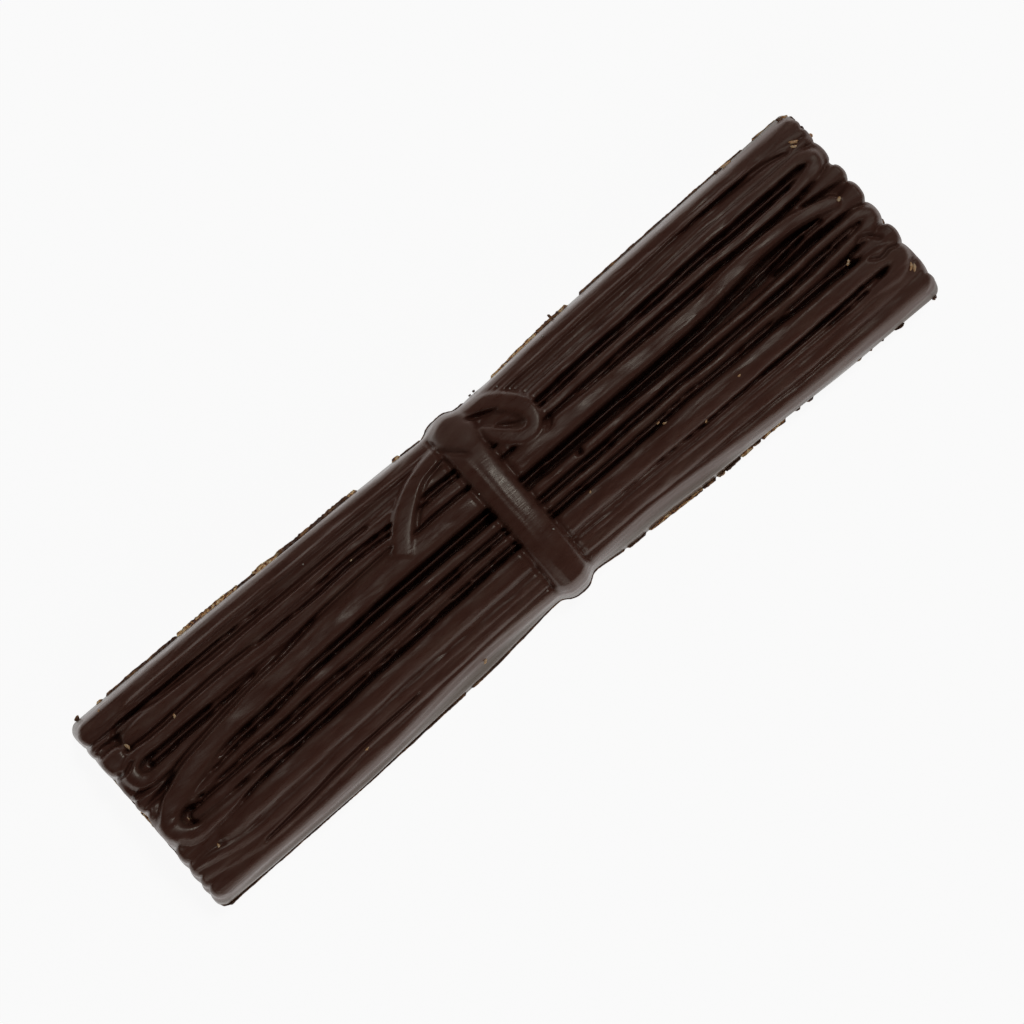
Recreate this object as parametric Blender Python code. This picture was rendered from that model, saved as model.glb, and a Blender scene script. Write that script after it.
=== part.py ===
"""A dark chocolate bar cast in the shape of a bundle of vanilla pods tied with a ribbon.

The bar is one solid. Its back is flat and lies on z = 0, its length runs along X, and its
origin is the middle of the back. Lengths below are in millimetres, and MM turns them into
the scene's metres.
"""

import math
from collections import namedtuple

import bmesh
import bpy
import numpy as np

MM = 0.001

# The cast body: a low dome over a flat back, with drafted walls all round.
LENGTH = 149.6  # of the back
WIDTH = 38.2  # of the back, at both ends
SHOULDER = 6.6  # height of the long walls, before their edges are rounded
DOME = 10.8  # height of the body between the pods, along the middle
DOME_POWER = 2.5  # 2 is an arch; more is flatter along the middle
LEFT_RUN, RIGHT_RUN = 1.2, 1.2  # how far the walls at +Y and -Y lean in, at the bar's ends
RIGHT_GAIN = (19.0, 1.5, 15.0, 2.0)  # how much more the one at -Y does, on both sides of the tie
EDGE_ROUND, EDGE_DROP = 1.25, 1.1  # width and depth of the rounding along the shoulder
END_RUN = 0.35  # how far an end wall leans in
CORNER, CORNER_GAIN = 1.7, 0.7  # radius of the back's corners, and how much more the top's have
END_ROUND = 1.9  # length over which the top rounds down to an end wall
END_DROP = 0.28  # share of the height that it loses there
SCALLOP = 0.8  # depth of the notches between the pods' ends

# The tie: a ribbon round the waist, with a knot, a loop and a tail. The walls are drawn in
# or stand out round it by these: middle, size, half length and steepness.
BAND_X = 0.6
BAND_HALF = 3.2  # half the width of the band
BAND_PINCH = (0.6, 1.05, 2.7, 4.0)  # how far the band stands out of the waist
KNOT_BULGE = (0.9, 1.15, 2.5, 2.0)  # how far the knot does, at the shoulder
WAIST = (0.6, 1.2, 34.0, 1.6)  # the long pinch
NECK = (0.0, 0.95, 15.0, 3.0)  # the short pinch beside the band
NECK_KEPT = 0.3  # share of the short pinch that the shoulder has

# The pods' cross-section, and the floor between them against the dome.
ROUNDNESS = 0.95  # depth of a pod's sides, for its half width
SQUARENESS, SQUARE_GAIN = 2.2, 0.35  # a thin pod's section, and how much squarer a broad one is
DEEPEST = 2.0  # most that a pod's sides go down
TIP_LENGTH, TIP_DROP = 5.0, 0.5  # length over which a pod sinks to its tip, and how far
GULLY, END_GULLY = -2.3, -0.8  # along the bar, and near its ends
END_START, END_LENGTH = 62.0, 9.0  # where one passes into the other, and over what length

# Where each pod's lane across the bar is stated, and where its half width and rise are.
STATIONS = (-73, -64, -40, 0, 40, 64, 73)
WIDTH_STATIONS = (-64, -34, 0, 34, 64)
STEP = 0.9  # spacing of the points along a route

# The sheet that is lifted to the moulded top, and how many triangles are kept of it.
ROWS, COLUMNS, TRIANGLES = 560, 240, 8300
SOFTENING = 3  # rounds of averaging that soften the creases before that

# A pod's end: a tip at x, or a curl that starts at x and turns over into a returning limb.
Tip = namedtuple("Tip", "x")
Curl = namedtuple("Curl", "x turn radius reach swell limb back drift taper")
# A rise is one number along the whole pod, or one for each of WIDTH_STATIONS.
Pod = namedtuple("Pod", "name lanes half_widths rise left right")

RUN_OUT = 74.0  # x of a pod's end that lies in the end wall
PODS = (
    Pod("rim_left", (16.7, 16.8, 16.4, 15.6, 16.3, 16.9, 15.6), (2.8, 2.7, 2.6, 2.5, 2.6), 0.4,
        Tip(-RUN_OUT), Tip(RUN_OUT)),
    Pod("first_thread", (14.2, 14.0, 13.1, 12.5, 13.3, 13.8, 13.6), (0.5, 0.55, 0.55, 0.5, 0.55),
        0.0, Tip(-RUN_OUT), Tip(71.0)),
    Pod("second_left", (13.2, 13.0, 12.1, 11.55, 12.3, 12.7, 12.5), (0.5, 0.55, 0.6, 0.68, 0.75),
        0.1, Tip(-RUN_OUT), Tip(72.0)),
    Pod("folded", (10.7, 10.6, 10.6, 10.1, 10.7, 11.0, 11.0), (2.0, 1.05, 0.9, 0.95, 1.02), 0.35,
        Tip(-67.6), Curl(69.0, -1, 1.6, 2.6, 1.9, 1.2, 2.0, 0.0, 0.9)),
    Pod("second_thread", (9.0, 9.0, 9.05, 8.45, 8.95, 9.1, 8.9), (0.5, 0.5, 0.4, 0.3, 0.3),
        (-0.1, -0.1, -0.2, -0.3, -0.3), Tip(-62.0), Tip(69.0)),
    Pod("hooked", (7.7, 7.6, 7.1, 6.8, 7.4, 7.35, 7.8), (1.25, 1.35, 1.1, 0.93, 0.95), 0.5,
        Curl(-68.6, -1, 2.2, 2.7, 2.0, 1.25, 28.0, 2.0, 0.2), Tip(70.0)),
    Pod("third_thread", (5.0, 5.1, 5.3, 5.3, 5.82, 5.35, 5.2), (0.3, 0.3, 0.3, 0.28, 0.3), -0.4,
        Tip(2.0), Tip(65.5)),
    Pod("crown", (-3.4, 0.2, 2.7, 3.35, 3.3, 3.65, 1.2), (2.12, 2.1, 2.1, 1.83, 1.25), 1.0,
        Curl(-68.4, -1, 3.15, 3.5, 2.3, 1.25, 18.0, 0.9, 0.35), Tip(68.4)),
    Pod("fourth_thread", (-3.0, -1.75, 0.05, 0.5, 0.42, 1.6, 1.0), (0.55, 0.36, 0.28, 0.24, 0.28),
        (-0.2, -0.4, -0.45, -0.45, -0.45), Tip(-67.0), Tip(67.5)),
    Pod("fifth", (-3.3, -2.9, -1.85, -1.8, -1.9, -1.65, -1.6), (0.7, 1.2, 1.0, 0.85, 0.85), 0.45,
        Tip(-67.4), Curl(69.4, -1, 1.4, 3.0, 1.7, 1.2, 2.0, 0.0, 0.9)),
    Pod("fifth_thread", (-4.1, -4.0, -3.7, -3.4, -3.35, -3.0, -2.6), (0.3, 0.5, 0.34, 0.25, 0.26),
        -0.4, Tip(-67.0), Tip(69.0)),
    Pod("sixth", (-5.6, -5.5, -5.3, -4.75, -4.8, -4.6, -3.9), (1.0, 0.9, 0.76, 0.8, 0.95), 0.5,
        Tip(-67.8), Tip(70.6)),
    Pod("sixth_thread", (-8.0, -7.9, -6.75, -5.95, -6.05, -6.3, -6.7), (0.3, 0.32, 0.27, 0.26, 0.28),
        -0.4, Tip(-57.0), Tip(66.0)),
    Pod("broad", (-11.0, -10.4, -9.5, -8.7, -8.8, -9.0, -9.2), (1.9, 2.0, 2.0, 2.15, 1.8), 0.8,
        Tip(-65.8), Curl(68.4, -1, 1.8, 3.2, 2.3, 1.1, 3.0, 0.0, 0.9)),
    Pod("seventh_thread", (-11.8, -12.1, -11.55, -11.05, -11.5, -11.5, -11.15),
        (0.4, 0.4, 0.42, 0.45, 0.42), 0.05, Tip(-62.0), Tip(66.0)),
    Pod("eighth", (-11.5, -13.1, -12.45, -12.05, -12.55, -12.75, -12.5), (1.15, 1.0, 0.75, 0.6, 0.7),
        0.3, Tip(-RUN_OUT), Tip(70.0)),
    Pod("ninth", (-13.4, -14.9, -14.2, -13.35, -14.0, -14.2, -13.8), (1.15, 1.05, 0.9, 1.1, 1.15),
        0.2, Tip(-RUN_OUT), Tip(RUN_OUT)),
    Pod("rim_right", (-16.0, -18.0, -17.6, -16.7, -17.6, -17.8, -16.5), (3.0, 2.9, 2.9, 2.6, 2.8),
        0.2, Tip(-RUN_OUT), Tip(RUN_OUT)),
)


# Short lengths of other pods: x and y, half width and rise, all at both ends.
Stub = namedtuple("Stub", "start end half_widths rises")
STUBS = (
    Stub((-71.2, 9.4), (-73.0, 9.2), (2.0, 2.1), (0.2, 0.2)),
    Stub((-67.4, 5.35), (-41.0, 5.7), (0.6, 0.25), (-0.35, -0.5)),
    Stub((-63.0, 2.6), (-73.4, 1.7), (0.3, 1.1), (-0.5, -0.1)),
    Stub((-69.6, -0.2), (-73.6, -0.4), (0.5, 1.1), (-0.7, -0.2)),
    Stub((-66.5, -9.8), (-73.4, -9.3), (1.6, 2.4), (-0.1, 0.2)),
    Stub((-68.5, -17.8), (-73.0, -17.6), (1.2, 2.0), (-0.2, 0.1)),
    Stub((69.0, 17.8), (73.6, 17.6), (1.5, 2.2), (-0.3, 0.0)),
    Stub((60.0, 5.35), (67.0, 5.4), (0.25, 0.7), (-0.8, -0.2)),
    Stub((67.0, 5.4), (73.4, 5.5), (0.7, 1.6), (-0.2, 0.2)),
    Stub((56.0, 0.2), (63.0, 0.6), (0.25, 0.5), (-1.2, -0.4)),
    Stub((63.0, 0.6), (70.0, 0.5), (0.5, 0.8), (-0.4, -0.2)),
    Stub((69.0, 0.9), (73.4, 1.0), (1.2, 2.2), (-0.3, 0.2)),
    Stub((66.4, -6.4), (73.2, -7.3), (0.6, 2.1), (-0.4, 0.4)),
)
# Middle and half width of each rounded lobe of the two end walls, across the bar.
LOBES = {
    -1: ((15.7, 2.4), (12.5, 0.9), (9.7, 2.1), (4.8, 2.2), (0.9, 1.8), (-4.8, 2.7),
         (-9.3, 2.0), (-12.1, 1.0), (-14.0, 1.0), (-16.9, 2.0)),
    1: ((15.7, 1.8), (12.6, 1.5), (9.5, 1.7), (5.6, 2.1), (1.0, 2.3), (-2.9, 1.7),
        (-7.4, 2.1), (-12.0, 2.6), (-16.6, 2.0)),
}

# The ribbon's parts: x, y and half width along each; the knot's points have a height too.
RIBBON_RISE, RIBBON_DEPTH, RIBBON_SQUARENESS = 1.15, 1.6, 4.0
TAIL = ((-2.2, 13.0, 1.1), (-5.8, 12.2, 1.5), (-9.0, 11.1, 1.8), (-11.7, 9.7, 1.9),
        (-14.1, 8.0, 1.95), (-16.1, 5.9, 2.0), (-17.6, 3.9, 2.05))
LOOP = ((2.6, 14.3, 1.2), (5.8, 14.8, 1.4), (7.9, 14.0, 1.65), (9.9, 12.5, 1.75),
        (11.4, 10.8, 1.75), (12.2, 8.7, 1.65), (11.7, 6.8, 1.5), (10.3, 5.9, 1.4),
        (8.7, 6.1, 1.5), (7.1, 7.4, 1.6), (5.5, 9.3, 1.4), (4.0, 11.0, 1.2))
LOOP_FILL = Stub((6.4, 11.0), (10.5, 8.7), (2.0, 1.8), (0.2, 0.2))
KNOT = ((0.9, 16.4, 3.6, 1.1), (1.1, 14.3, 3.6, 2.1), (1.8, 12.6, 2.9, 2.3),
        (2.6, 11.0, 1.9, 2.2), (2.9, 9.8, 1.2, 1.8))
KNOT_DEPTH, KNOT_SQUARENESS = 2.4, 2.3
# Folds along the band: distance from its middle line, height and half width.
BAND_FOLDS = ((-2.1, 0.12, 0.3), (-1.0, 0.2, 0.4), (0.2, 0.36, 1.8), (0.35, 0.08, 0.25),
              (2.8, 0.1, 0.25))


def smooth(x, stations, values):
    """A smooth curve through the values at the stations, read at x."""
    stations = np.asarray(stations, float)
    values = np.asarray(values, float)
    slopes = np.gradient(values, stations)
    x = np.clip(x, stations[0], stations[-1])
    k = np.clip(np.searchsorted(stations, x) - 1, 0, len(stations) - 2)
    span = stations[k + 1] - stations[k]
    t = (x - stations[k]) / span
    rise = values[k + 1] - values[k]
    start = slopes[k] * span - rise
    end = rise - slopes[k + 1] * span
    return values[k] + rise * t + t * (1 - t) * (start * (1 - t) + end * t)


def fall(share, power=2.0):
    """0 at the middle of a rounded section and 1 at its edge."""
    return 1 - (1 - np.clip(np.abs(share), 0, 1) ** power) ** (1 / power)


def pinch(x, sizes):
    """How far the bar is drawn in at x by one of its two pinches."""
    middle, depth, reach, steepness = sizes
    return depth * np.exp(-((np.abs(x - middle) / reach) ** steepness))


def side_run(x, side):
    """How far a long wall leans in at x. The side is 1 at +Y and -1 at -Y."""
    left = LEFT_RUN + pinch(x, BAND_PINCH) - pinch(x, KNOT_BULGE)
    return np.where(side > 0, left, RIGHT_RUN + pinch(np.abs(x), RIGHT_GAIN))


def half_width(x, side, level):
    """Half the bar's width at x. The level runs from 0 at the back to 1 at the shoulder."""
    bulge = pinch(x, BAND_PINCH)
    neck = pinch(x, NECK) * (1 - level * (1 - NECK_KEPT))
    return WIDTH / 2 - pinch(x, WAIST) - neck + bulge - level * side_run(x, side)


def half_length(y, side, level):
    """Half the bar's length at y, towards one end. The notches fade down to the back."""
    lobe = np.zeros_like(y)
    for middle, half in LOBES[side]:
        lobe = np.maximum(lobe, 1 - fall((y - middle) / half))
    radius = CORNER + level * CORNER_GAIN
    run = np.where(y > 0, LEFT_RUN, RIGHT_RUN)
    past = np.abs(y) - (WIDTH / 2 - level * run - radius)
    corner = radius * fall(np.clip(past, 0, radius) / radius)
    return LENGTH / 2 - corner - level * (END_RUN + SCALLOP * (1 - lobe))


def end_limit(x, y, level):
    """Half the bar's length at y, towards the end that x lies nearer."""
    return np.where(x < 0, half_length(y, -1, level), half_length(y, 1, level))


PLAIN = 0.42 * LENGTH  # past this distance from the middle, the grid stretches to the ends


def footprint(rows, columns, level):
    """Points across the bar at one level. Rows run from -1 to 1 along it, columns across."""
    x = rows * LENGTH / 2
    y = columns * half_width(x, columns, level)
    beyond = np.clip((np.abs(x) - PLAIN) / (LENGTH / 2 - PLAIN), 0, 1)
    stretched = np.sign(x) * (PLAIN + beyond * (end_limit(x, y, level) - PLAIN))
    return np.where(beyond > 0, stretched, x), y


def rows_and_columns(x, y):
    """The reverse of footprint at the shoulder."""
    beyond = np.clip((np.abs(x) - PLAIN) / (end_limit(x, y, 1) - PLAIN), 0, 1)
    plain = np.where(beyond > 0, np.sign(x) * (PLAIN + beyond * (LENGTH / 2 - PLAIN)), x)
    return plain / (LENGTH / 2), y / half_width(plain, y, 1)


def dome(x, y):
    """The body without its pods: highest along the middle, rounded down all round."""
    across = np.clip(np.abs(y) / half_width(x, y, 1), 0, 1)
    height = SHOULDER + (DOME - SHOULDER) * (1 - across**DOME_POWER)
    near = np.clip(1 - (end_limit(x, y, 1) - np.abs(x)) / END_ROUND, 0, 1)
    return height * (1 - END_DROP * fall(near))


def curl_route(pod, curl, side):
    """x, y and half width from a curl's start round to the end of its returning limb."""
    lane = smooth(curl.x, STATIONS, pod.lanes)
    start = smooth(curl.x, WIDTH_STATIONS, pod.half_widths)
    t = np.linspace(0, 1, 17)[1:]
    back = np.arange(STEP, curl.back + STEP, STEP) / curl.back
    x = np.append(curl.x + side * curl.reach * np.sin(math.pi * t), curl.x - side * curl.back * back)
    y_turn = lane + curl.turn * curl.radius * (1 - np.cos(math.pi * t))
    y_back = y_turn[-1] + curl.drift * back
    turn_width = (1 - t) ** 2 * start + 2 * t * (1 - t) * curl.swell + t**2 * curl.limb
    back_width = curl.limb + (curl.taper - curl.limb) * back
    return np.array([x, np.append(y_turn, y_back), np.append(turn_width, back_width)])


def pod_route(pod):
    """x, y, half width and height along a pod, from its left end to its right one."""
    x = np.arange(pod.left.x, pod.right.x + STEP, STEP)
    route = np.array([x, smooth(x, STATIONS, pod.lanes), smooth(x, WIDTH_STATIONS, pod.half_widths)])
    if isinstance(pod.left, Curl):
        route = np.hstack([curl_route(pod, pod.left, -1)[:, ::-1], route])
    if isinstance(pod.right, Curl):
        route = np.hstack([route, curl_route(pod, pod.right, 1)])
    count = route.shape[1]
    from_end = np.minimum(np.arange(count), np.arange(count)[::-1]) * STEP
    drop = TIP_DROP * np.clip(1 - from_end / TIP_LENGTH, 0, 1) ** 2
    rises = smooth(route[0], WIDTH_STATIONS, np.broadcast_to(pod.rise, len(WIDTH_STATIONS)))
    return np.vstack([route, rises - drop])


def ribbon_route(points):
    """A smooth route through a few points that state x, y and half width, at the ribbon's height."""
    points = np.array(points, float)
    along = np.append(0, np.cumsum(np.hypot(*np.diff(points[:, :2], axis=0).T)))
    fine = np.linspace(0, along[-1], int(along[-1] / 0.5) + 2)
    return np.array([smooth(fine, along, points[:, k]) for k in range(3)] + [0 * fine + RIBBON_RISE])


def lay(relief, x, y, route, depth, power, square_ends=False):
    """Raise the relief to a strand along the route, wherever the strand is higher.

    The route has x, y, half width and height. The edges lie depth(half width) lower.
    """
    last = route.shape[1] - 2
    for k in range(last + 1):
        (x0, y0, w0, z0), (x1, y1, w1, z1) = route[:, k], route[:, k + 1]
        length = math.hypot(x1 - x0, y1 - y0)
        reach = max(w0, w1)
        rows = (x.max(axis=1) > min(x0, x1) - reach) & (x.min(axis=1) < max(x0, x1) + reach)
        if length < 1e-6 or not rows.any():
            continue
        px, py = x[rows], y[rows]
        t = ((px - x0) * (x1 - x0) + (py - y0) * (y1 - y0)) / length**2
        kept = np.ones_like(t, bool)
        if square_ends:
            kept = (t > (0 if k == 0 else -0.5)) & (t < (1 if k == last else 1.5))
        t = np.clip(t, 0, 1)
        half = w0 + t * (w1 - w0)
        share = np.hypot(px - x0 - t * (x1 - x0), py - y0 - t * (y1 - y0)) / half
        height = z0 + t * (z1 - z0) - depth(half) * fall(share, power)
        kept &= (share < 1) & (height > relief[rows])
        relief[rows] = np.where(kept, height, relief[rows])


def pod_depth(half):
    return np.minimum(ROUNDNESS * half, DEEPEST)


def pods_relief(x, y):
    """The pods' surface against the dome."""
    near_end = np.clip((np.abs(x) - END_START) / END_LENGTH, 0, 1)
    relief = GULLY + (END_GULLY - GULLY) * near_end
    for stub in STUBS + (LOOP_FILL,):
        route = np.vstack([np.array([stub.start, stub.end]).T, stub.half_widths, stub.rises])
        lay(relief, x, y, route, pod_depth, SQUARENESS)
    for pod in PODS:
        power = SQUARENESS + SQUARE_GAIN * pod.half_widths[2]
        lay(relief, x, y, pod_route(pod), pod_depth, power)
    return relief


def tie_relief(relief, x, y):
    """The ribbon over the pods: the tail and the loop, then the band, then the knot."""
    for points in (TAIL, LOOP):
        lay(relief, x, y, ribbon_route(points), lambda half: RIBBON_DEPTH, RIBBON_SQUARENESS, True)
    from_middle = x - BAND_X
    folds = sum(h * np.exp(-(((from_middle - at) / w) ** 2)) for at, h, w in BAND_FOLDS)
    band = RIBBON_RISE + 0.1 + folds - RIBBON_DEPTH * fall(from_middle / BAND_HALF, 6.0)
    relief = np.where(np.abs(from_middle) < BAND_HALF, np.maximum(relief, band), relief)
    lay(relief, x, y, np.array(KNOT).T, lambda half: KNOT_DEPTH, KNOT_SQUARENESS)
    return relief


def top_height(x, y):
    """Height of the bar's moulded top above its back."""
    relief = tie_relief(pods_relief(x, y), x, y)
    from_side = half_width(x, y, 1) - np.abs(y)
    edge = EDGE_DROP * fall(np.clip(1 - from_side / EDGE_ROUND, 0, 1))
    return dome(x, y) - edge + relief * np.clip(0.3 + from_side / 1.5, 0, 1)


def soften(heights):
    """Round the creases off: each height becomes the mean of itself and its neighbours."""
    for _ in range(SOFTENING):
        for axis in (0, 1):
            padded = np.pad(heights, [(1, 1) if k == axis else (0, 0) for k in (0, 1)], "edge")
            before = np.take(padded, range(0, heights.shape[axis]), axis)
            after = np.take(padded, range(2, heights.shape[axis] + 2), axis)
            heights = (before + 2 * heights + after) / 4
    return heights


def top_sheet():
    """The moulded top: an open sheet, fine at first and then thinned to TRIANGLES."""
    bpy.ops.mesh.primitive_grid_add(x_subdivisions=ROWS, y_subdivisions=COLUMNS, size=2)
    sheet = bpy.context.object
    points = np.empty(3 * len(sheet.data.vertices))
    sheet.data.vertices.foreach_get("co", points)
    points = points.reshape(COLUMNS + 1, ROWS + 1, 3).transpose(1, 0, 2)
    x, y = footprint(points[..., 0], np.sin(points[..., 1] * math.pi / 2), 1)
    points = np.stack([x, y, soften(top_height(x, y))], axis=-1).transpose(1, 0, 2)
    sheet.data.vertices.foreach_set("co", points.ravel())
    thin = sheet.modifiers.new("thin", "DECIMATE")
    thin.ratio = TRIANGLES / (2 * ROWS * COLUMNS)
    bpy.ops.object.modifier_apply(modifier=thin.name)
    return sheet


def add_walls_and_back(sheet):
    """Close the sheet: walls from its border straight down to the back, and the flat back."""
    body = bmesh.new()
    body.from_mesh(sheet.data)
    border = [edge for edge in body.edges if edge.is_boundary]
    made = bmesh.ops.extrude_edge_only(body, edges=border)["geom"]
    lower = [item for item in made if isinstance(item, bmesh.types.BMVert)]
    x, y, z = np.array([vertex.co for vertex in lower]).T
    x, y = footprint(*rows_and_columns(x, y), 0)
    for vertex, px, py in zip(lower, x, y):
        vertex.co = (px, py, 0)
    rim = [edge for edge in body.edges if edge.is_boundary]
    back = bmesh.ops.contextual_create(body, geom=rim)["faces"]
    bmesh.ops.poke(body, faces=back)
    bmesh.ops.scale(body, vec=(MM, MM, MM), verts=body.verts)
    bmesh.ops.recalc_face_normals(body, faces=body.faces)
    body.to_mesh(sheet.data)
    body.free()


def chocolate_material():
    material = bpy.data.materials.new("dark_chocolate")
    material.use_nodes = True
    shader = material.node_tree.nodes["Principled BSDF"]
    shader.inputs["Base Color"].default_value = (0.030, 0.017, 0.012, 1)
    shader.inputs["Roughness"].default_value = 0.38
    return material


def build():
    for leftover in list(bpy.data.objects):
        bpy.data.objects.remove(leftover)
    bar = top_sheet()
    add_walls_and_back(bar)
    bar.name = bar.data.name = "chocolate_bundle"
    bar.data.materials.append(chocolate_material())
    collection = bpy.data.collections.new("chocolate_bundle")
    bpy.context.scene.collection.children.link(collection)
    for holder in list(bar.users_collection):
        holder.objects.unlink(bar)
    collection.objects.link(bar)


build()
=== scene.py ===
"""Looks of the dark chocolate bar cast as a tied bundle of vanilla pods.

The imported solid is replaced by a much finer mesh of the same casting, with loose bits on it
and at its foot. The casting's sizes are in millimetres; MM turns them into the frame's metres.
"""

import math
from collections import namedtuple

import bpy
import numpy as np
from mathutils import Matrix, Vector


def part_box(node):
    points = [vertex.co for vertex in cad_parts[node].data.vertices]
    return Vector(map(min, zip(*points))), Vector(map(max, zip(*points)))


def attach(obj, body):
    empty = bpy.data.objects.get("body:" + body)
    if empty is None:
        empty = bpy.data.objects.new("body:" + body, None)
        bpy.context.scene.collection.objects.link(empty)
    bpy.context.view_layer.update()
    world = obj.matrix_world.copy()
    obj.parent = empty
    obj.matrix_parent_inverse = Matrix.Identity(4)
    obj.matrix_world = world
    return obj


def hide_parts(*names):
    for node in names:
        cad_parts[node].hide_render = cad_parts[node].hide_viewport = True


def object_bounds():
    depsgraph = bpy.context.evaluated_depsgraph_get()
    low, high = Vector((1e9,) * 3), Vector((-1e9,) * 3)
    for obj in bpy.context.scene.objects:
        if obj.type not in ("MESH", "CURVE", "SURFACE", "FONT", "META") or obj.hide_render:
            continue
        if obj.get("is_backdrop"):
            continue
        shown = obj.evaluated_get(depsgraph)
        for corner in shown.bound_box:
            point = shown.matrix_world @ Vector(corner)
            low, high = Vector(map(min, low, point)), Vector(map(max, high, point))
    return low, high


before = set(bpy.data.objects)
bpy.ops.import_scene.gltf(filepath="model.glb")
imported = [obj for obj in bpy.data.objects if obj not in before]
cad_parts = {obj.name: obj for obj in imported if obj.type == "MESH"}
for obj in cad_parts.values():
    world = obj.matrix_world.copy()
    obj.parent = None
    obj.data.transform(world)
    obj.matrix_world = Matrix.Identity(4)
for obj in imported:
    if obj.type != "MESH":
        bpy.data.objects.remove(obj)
CAD_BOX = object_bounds()
LOW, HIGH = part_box("chocolate_bundle")

# ---------------------------------------------------------------- the casting's sizes

LENGTH = 149.6  # of the back
WIDTH = 38.2  # of the back, at both ends
SHOULDER = 6.6  # height of the long walls, before their edges are rounded
DOME = 10.8  # height of the body between the pods, along the middle
DOME_POWER = 2.5  # 2 is an arch; more is flatter along the middle
LEFT_RUN, RIGHT_RUN = 1.6, 1.3  # how far the walls at +Y and -Y lean in, at the bar's ends
RIGHT_GAIN = (19.0, 1.5, 15.0, 2.0)  # how much more the one at -Y does, on both sides of the tie
EDGE_ROUNDS = {1: 0.85, -1: 1.25}  # width of the rounding along the shoulder, at +Y and at -Y
EDGE_DROP = 1.1  # and its depth
END_RUN = 0.7  # how far an end wall leans in
CORNER, CORNER_GAIN = 1.7, 0.7  # radius of the back's corners, and how much more the top's have
END_ROUND = 0.4  # length over which the top rounds down to an end wall
END_DROP = 0.12  # share of the height that it loses there
SCALLOP = 0.8  # depth of the notches between the pods' ends
MM = (HIGH.x - LOW.x) / LENGTH  # the casting's millimetre, in the frame's metres

BAND_X, BAND_HALF = 0.6, 3.2  # middle of the band, and half its width
# The next four each have a middle, a depth, a half length and a steepness.
BAND_PINCH = (0.6, 1.05, 2.7, 4.0)  # how far the band stands out of the waist on each side
KNOT_BULGE = (0.9, 1.15, 2.5, 2.0)  # the same, of the knot at the shoulder
WAIST = (0.6, 1.2, 34.0, 1.6)  # the long pinch
NECK = (0.0, 0.95, 15.0, 3.0)  # the short pinch beside the band
NECK_KEPT = 0.3  # share of the short pinch that the shoulder has

ROUNDNESS = 0.95  # depth of a pod's sides, for its half width
SQUARENESS, SQUARE_GAIN = 2.2, 0.35  # a thin pod's section, and how much squarer a broad one is
DEEPEST = 2.0  # most that a pod's sides go down
TIP_LENGTH, TIP_DROP = 5.0, 0.5  # length over which a pod sinks to its tip, and how far
GULLY, END_GULLY = -4.6, -1.1  # floor between the pods, against the dome, and at the ends
END_RISE_FROM, END_RISE_LENGTH = 65.5, 7.0  # where along the bar that floor rises
DEEP_Y, DEEP_REACH, DEEP_GAIN = 0.7, 1.8, 1.3  # middle, half width and extra depth of one wide gap

# ---------------------------------------------------------------- the pods

STATIONS = (-73, -64, -40, 0, 40, 64, 73)  # x of a pod's lanes, which are its y there
WIDTH_STATIONS = (-64, -34, 0, 34, 64)  # x of its half widths, and of its rises if they differ
STEP, TURN_POINTS = 0.9, 16  # spacing of the points along a pod, and their count in a turn

# A pod's rise is its height above the dome. At each end it has a tip at x, or a curl. A curl
# turns back at x, towards +Y (turn 1) or -Y (turn -1), by twice the radius sideways. It reaches
# that far past x and swells to that half width. Then a limb of the next half width runs back by
# that length, drifts sideways and tapers to the last half width.
Tip = namedtuple("Tip", "x")
Curl = namedtuple("Curl", "x turn radius reach swell limb back drift taper")
Pod = namedtuple("Pod", "name lanes half_widths rise left right")

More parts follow.
